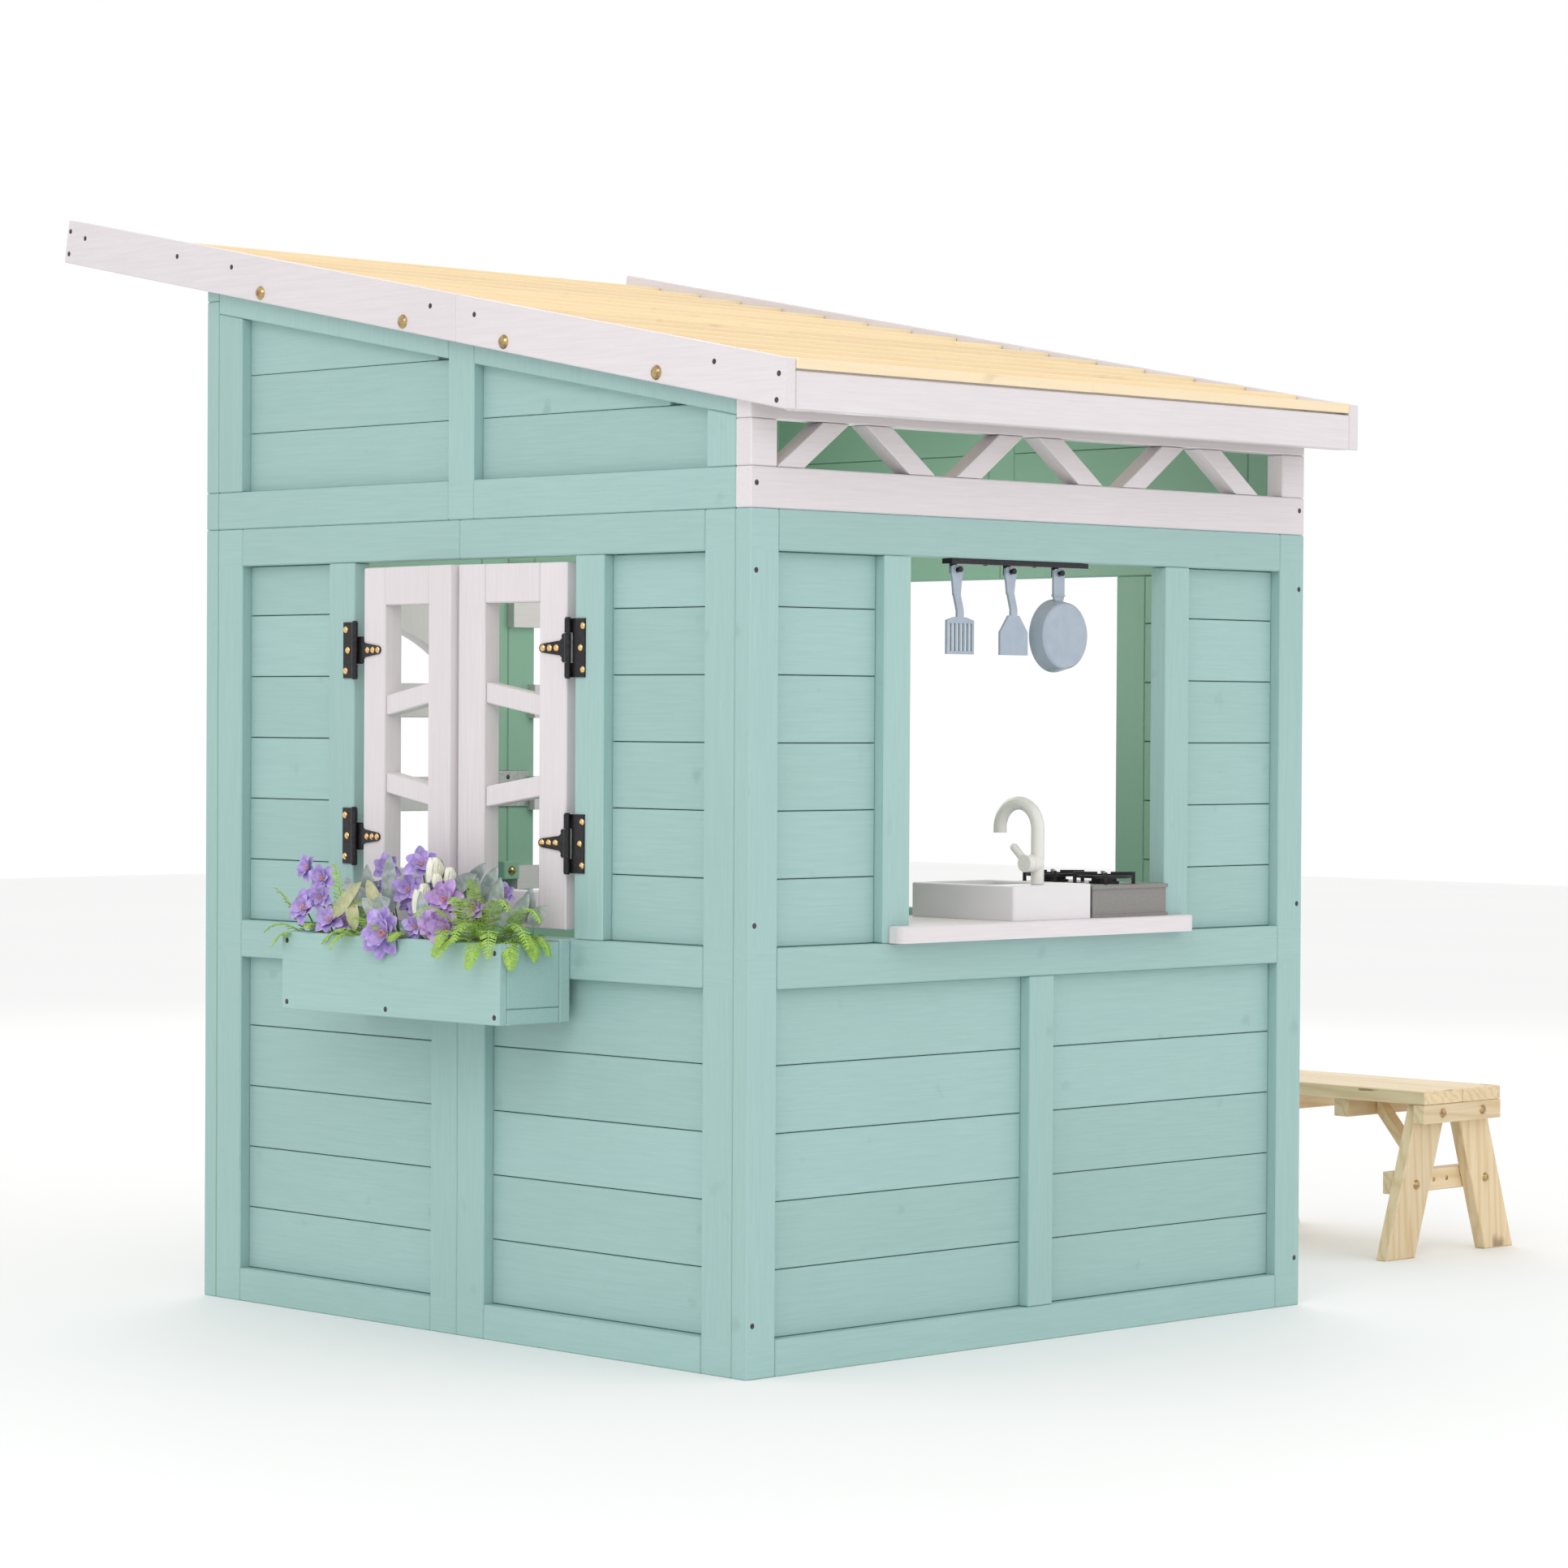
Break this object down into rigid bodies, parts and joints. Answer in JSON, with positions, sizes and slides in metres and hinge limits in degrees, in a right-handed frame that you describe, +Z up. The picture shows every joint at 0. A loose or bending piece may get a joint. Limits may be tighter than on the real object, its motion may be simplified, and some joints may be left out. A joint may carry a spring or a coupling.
{
  "type": "playhouse",
  "caption": "Child's painted wooden playhouse: lean-to roof, casement window with flower box, toy kitchen counter window, hinged door and a small trestle bench.",
  "frame": {"origin": "on the floor, under the middle of the four walls", "axes": "+Z up, +X towards the kitchen wall and low eave, -X towards the door wall, -Y towards the casement wall and flower box, +Y towards the bench"},
  "size_m": [1.5116, 2.0033, 1.5382],
  "materials": {
    "mint_frame": "painted, satin",
    "mint_plank": "painted, satin",
    "white_paint": "painted, satin",
    "roof_pine": "clear, satin",
    "bench_pine": "clear, satin",
    "zinc_steel": "matt zinc",
    "yellow_zinc": "polished",
    "dark_steel": "dark",
    "foliage": "artificial flowers",
    "black_iron": "black, satin",
    "brass": "polished",
    "sink_white": "satin",
    "tap_white": "gloss",
    "hob_grey": "satin",
    "utensil_blue": "satin"
  },
  "bodies": {
    "house": {"casement_wall_frame": "mint_frame", "casement_wall_planks": "mint_plank", "casement_gable_frame": "mint_frame", "casement_gable_planks": "mint_plank", "kitchen_wall_frame": "mint_frame", "kitchen_wall_planks": "mint_plank", "eave_lattice_frame": "white_paint", "eave_lattice_braces": "white_paint", "bench_wall_frame": "mint_frame", "bench_wall_planks": "mint_plank", "bench_gable_frame": "mint_frame", "bench_gable_planks": "mint_plank", "door_wall_frame": "mint_frame", "door_wall_planks": "mint_plank", "high_gable_frame": "mint_frame", "high_gable_planks": "mint_plank", "door_wall_light_boards": "white_paint", "panel_joining_plate": "zinc_steel", "roof_rafters": "white_paint", "near_roof_boards": "roof_pine", "far_roof_boards": "roof_pine", "near_side_fascia": "white_paint", "far_side_fascia": "white_paint", "low_eave_fascia": "white_paint", "high_eave_fascia": "white_paint", "brass_bolts": "yellow_zinc", "dark_screws": "dark_steel", "flower_box_front": "mint_frame", "flower_box_back": "mint_frame", "flower_box_ends": "mint_frame", "flower_box_bottom": "mint_frame", "flowers": "foliage", "hinge_plates": "black_iron", "hinge_pins": "black_iron", "hinge_plate_screws": "brass", "serving_counter": "white_paint", "counter_brackets": "white_paint", "sink_basin": "sink_white", "faucet_body": "tap_white", "hob_body": "hob_grey", "hob_grates": "black_iron", "hook_rail": "black_iron"},
    "left_leaf": {"left_leaf_frame": "white_paint", "left_leaf_straps": "black_iron", "left_leaf_screws": "brass"},
    "right_leaf": {"right_leaf_frame": "white_paint", "right_leaf_straps": "black_iron", "right_leaf_screws": "brass"},
    "door": {"door_leaf_frame": "white_paint", "door_leaf_planks": "mint_plank", "door_straps": "black_iron", "door_strap_screws": "brass"},
    "faucet_lever": {"faucet_lever": "tap_white"},
    "slotted_turner": {"slotted_turner": "utensil_blue"},
    "plain_turner": {"plain_turner": "utensil_blue"},
    "frying_pan": {"frying_pan": "utensil_blue"},
    "bench": {"bench_seat": "bench_pine", "bench_legs": "bench_pine", "bench_rails": "bench_pine", "bench_fasteners": "yellow_zinc"}
  },
  "joints": [
    {"name": "left_leaf_hinge", "type": "hinge", "parent": "house", "child": "left_leaf", "pos_m": [-0.214, -0.543, 0.783], "axis": [0, 0, -1], "range_deg": [-5.3, 100]},
    {"name": "right_leaf_hinge", "type": "hinge", "parent": "house", "child": "right_leaf", "pos_m": [0.221, -0.543, 0.783], "axis": [0, 0, 1], "range_deg": [-3, 100]},
    {"name": "door_hinge", "type": "hinge", "parent": "house", "child": "door", "pos_m": [-0.559, -0.484, 0.524], "axis": [0, 0, 1], "range_deg": [0, 105]},
    {"name": "tap_lever_turn", "type": "hinge", "parent": "house", "child": "faucet_lever", "pos_m": [0.534, -0.005, 0.63], "axis": [0, 1, 0], "range_deg": [-30, 30]},
    {"name": "slotted_turner_swing", "type": "hinge", "parent": "house", "child": "slotted_turner", "pos_m": [0.542, -0.156, 1.014], "axis": [1, 0, 0], "range_deg": [-8, 8]},
    {"name": "plain_turner_swing", "type": "hinge", "parent": "house", "child": "plain_turner", "pos_m": [0.542, -0.054, 1.014], "axis": [1, 0, 0], "range_deg": [-8, 8]},
    {"name": "frying_pan_swing", "type": "hinge", "parent": "house", "child": "frying_pan", "pos_m": [0.542, 0.04, 1.014], "axis": [1, 0, 0], "range_deg": [-8, 8]},
    {"name": "bench_slide", "type": "slide", "parent": "house", "child": "bench", "axis": [0, 1, 0], "range_m": [0, 0.3]}
  ]
}
